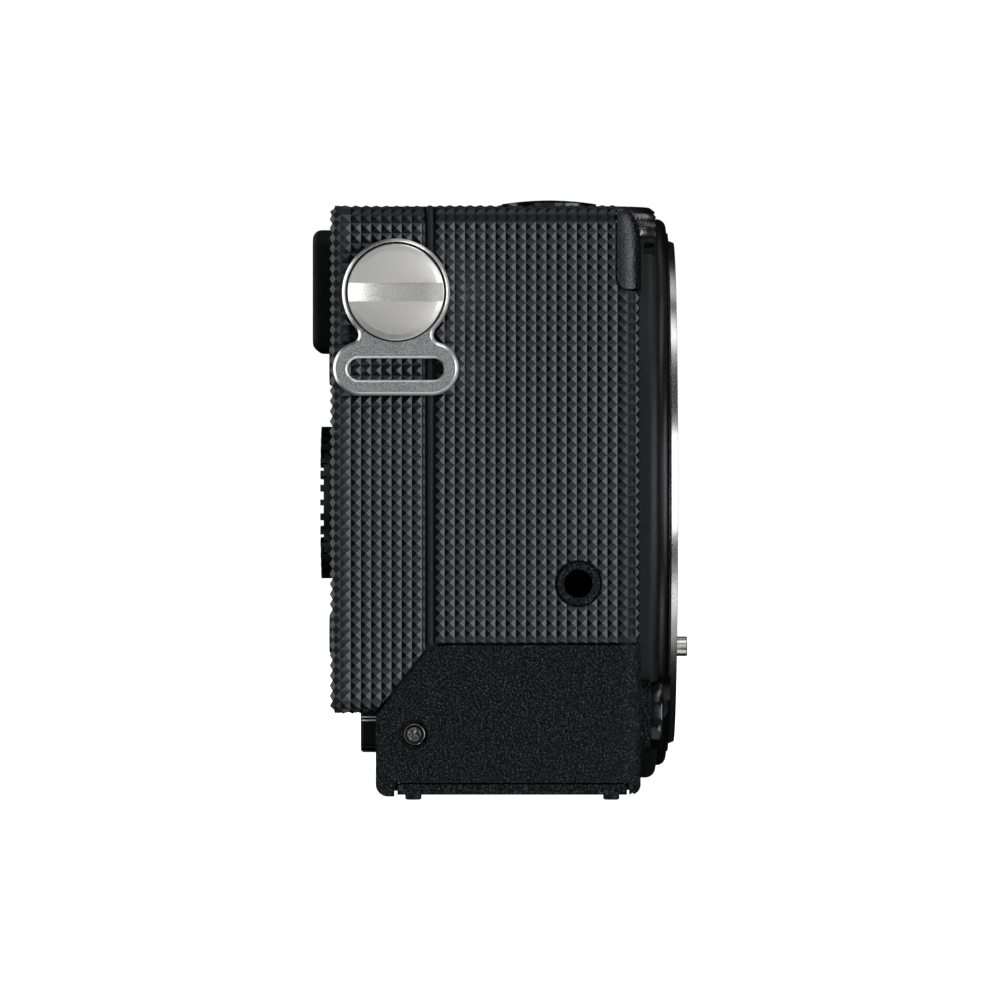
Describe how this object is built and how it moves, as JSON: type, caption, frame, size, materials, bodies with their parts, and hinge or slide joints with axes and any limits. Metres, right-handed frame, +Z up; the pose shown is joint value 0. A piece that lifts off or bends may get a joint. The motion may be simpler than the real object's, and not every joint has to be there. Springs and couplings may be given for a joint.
{
  "type": "mirrorless camera",
  "caption": "Mirrorless camera body without lens: textured rubber grip panels, steel lens mount, strap lugs held by coin screws, tilting rear monitor and battery door in the base.",
  "frame": {"origin": "axis of the tripod socket, at the underside of the base plate, straight below the optical axis", "axes": "+Z up, -Y the way the lens points, -X towards the grip end (the viewer's right)"},
  "size_m": [0.1192, 0.0482, 0.0752],
  "materials": {
    "textured_rubber": "black rubber moulded in small square pyramids, satin",
    "plain_rubber": "matt black rubber",
    "cast_black": "fine satin black paint on cast metal",
    "grained_black": "black paint with a fine leather-like grain",
    "black_plastic": "moulded black plastic",
    "gloss_black": "polished black",
    "mount_steel": "turned and polished stainless steel",
    "blasted_steel": "bead-blasted steel with polished bevels",
    "satin_steel": "satin turned steel",
    "pin_steel": "polished steel",
    "black_screw": "black oxide steel",
    "knurled_metal": "knurled dark anodised aluminium",
    "black_metal": "black anodised aluminium",
    "gold_contact": "gold plated",
    "display_glass": "black display glass",
    "clear_glass": "coated glass",
    "sensor": "silicon under coated glass",
    "circuit_board": "green board with black chips",
    "magnesium": "bare cast magnesium",
    "inner_plastic": "plain inner moulding"
  },
  "bodies": {
    "root": {"front_shell": "cast_black", "af_window": "gloss_black", "rear_shell": "cast_black", "top_cover": "cast_black", "lower_housing": "grained_black", "base_plate": "cast_black", "base_screws": "black_screw", "door_hinge_pin": "pin_steel", "base_feet": "plain_rubber", "tripod_socket": "pin_steel", "front_grip_skin": "textured_rubber", "far_grip_skin": "textured_rubber", "corner_cap": "grained_black", "seam_strips": "black_plastic", "rear_grip_core": "inner_plastic", "rear_grip_skin": "textured_rubber", "mount_bezel": "cast_black", "mount_ring": "mount_steel", "mount_screws": "pin_steel", "throat_baffle": "black_plastic", "mount_contacts": "gold_contact", "strap_screws": "satin_steel", "strap_bosses": "black_metal", "jack_socket": "black_plastic", "side_screws": "black_screw", "port_sockets": "satin_steel", "hot_shoe": "satin_steel", "monitor_hinge": "black_metal", "eyepiece_block": "cast_black", "eyecup": "plain_rubber", "eyepiece_lens": "clear_glass", "shutter_unit": "inner_plastic", "sensor_glass": "clear_glass", "image_sensor": "sensor", "chassis": "magnesium", "main_board": "circuit_board", "battery_bay": "inner_plastic", "battery_pack": "black_plastic", "card_slot": "satin_steel", "memory_card": "black_plastic"},
    "front_dial": {"front_dial": "knurled_metal"},
    "control_wheel": {"control_wheel": "black_plastic"},
    "mode_dial": {"mode_dial": "black_metal"},
    "power_dial": {"power_dial": "black_metal"},
    "shutter_button": {"shutter_button": "black_metal"},
    "video_button": {"video_button": "black_metal"},
    "ok_button": {"ok_button": "black_plastic"},
    "upper_rear_button": {"upper_rear_button": "black_plastic"},
    "lower_rear_button": {"lower_rear_button": "black_plastic"},
    "lens_release_button": {"lens_release_button": "gloss_black"},
    "lens_lock_pin": {"lens_lock_pin": "pin_steel"},
    "battery_door": {"battery_door": "cast_black", "door_feet": "plain_rubber"},
    "door_latch": {"door_latch": "black_plastic"},
    "strap_lug_grip": {"strap_lug_grip": "blasted_steel"},
    "strap_lug_far": {"strap_lug_far": "blasted_steel"},
    "monitor": {"monitor_housing": "gloss_black", "monitor_glass": "display_glass"},
    "port_door": {"port_door": "plain_rubber"}
  },
  "joints": [
    {"name": "front_dial_turn", "type": "hinge", "parent": "root", "child": "front_dial", "pos_m": [-0.049, -0.00974, 0.07], "axis": [0, 0, 1], "continuous": true},
    {"name": "control_wheel_turn", "type": "hinge", "parent": "root", "child": "control_wheel", "pos_m": [-0.05, 0.022, 0.03564], "axis": [0, 1, 0], "continuous": true},
    {"name": "mode_dial_turn", "type": "hinge", "parent": "root", "child": "mode_dial", "pos_m": [0.036, -0.002, 0.072], "axis": [0, 0, 1], "continuous": true},
    {"name": "power_dial_turn", "type": "hinge", "parent": "root", "child": "power_dial", "pos_m": [-0.014, -0.005, 0.072], "axis": [0, 0, 1], "range_deg": [0, 35]},
    {"name": "shutter_button_press", "type": "slide", "parent": "root", "child": "shutter_button", "axis": [0, 0, -1], "range_m": [0, 0.0009], "stiffness_N_per_m": 300},
    {"name": "video_button_press", "type": "slide", "parent": "root", "child": "video_button", "axis": [0, 0, -1], "range_m": [0, 0.0005], "stiffness_N_per_m": 400},
    {"name": "ok_button_press", "type": "slide", "parent": "root", "child": "ok_button", "axis": [0, -1, 0], "range_m": [0, 0.0004], "stiffness_N_per_m": 400},
    {"name": "upper_rear_button_press", "type": "slide", "parent": "root", "child": "upper_rear_button", "axis": [0, -1, 0], "range_m": [0, 0.0004], "stiffness_N_per_m": 400},
    {"name": "lower_rear_button_press", "type": "slide", "parent": "root", "child": "lower_rear_button", "axis": [0, -1, 0], "range_m": [0, 0.0004], "stiffness_N_per_m": 400},
    {"name": "lens_release_button_press", "type": "slide", "parent": "root", "child": "lens_release_button", "axis": [0, 1, 0], "range_m": [0, 0.0015], "stiffness_N_per_m": 600},
    {"name": "lens_lock_pin_slide", "type": "slide", "parent": "root", "child": "lens_lock_pin", "axis": [0, 1, 0], "range_m": [0, 0.0015]},
    {"name": "battery_door_swing", "type": "hinge", "parent": "root", "child": "battery_door", "pos_m": [-0.0252, 0, 0.00063], "axis": [0, -1, 0], "range_deg": [0, 90]},
    {"name": "door_latch_slide", "type": "slide", "parent": "battery_door", "child": "door_latch", "axis": [1, 0, 0], "range_m": [0, 0.0025]},
    {"name": "strap_lug_grip_swing", "type": "hinge", "parent": "root", "child": "strap_lug_grip", "pos_m": [-0.0629, 0.01372, 0.06125], "axis": [1, 0, 0], "range_deg": [-60, 60]},
    {"name": "strap_lug_far_swing", "type": "hinge", "parent": "root", "child": "strap_lug_far", "pos_m": [0.0529, 0.01372, 0.06125], "axis": [1, 0, 0], "range_deg": [-60, 60]},
    {"name": "monitor_tilt", "type": "hinge", "parent": "root", "child": "monitor", "pos_m": [0.007, 0.01725, 0.053], "axis": [1, 0, 0], "range_deg": [0, 90]},
    {"name": "port_door_swing", "type": "hinge", "parent": "root", "child": "port_door", "pos_m": [0.05147, 0.0041, 0.036], "axis": [0, 0, 1], "range_deg": [0, 95]}
  ],
  "couplings": [
    {"joint": "lens_lock_pin_slide", "follows": "lens_release_button_press", "ratio": 1}
  ]
}
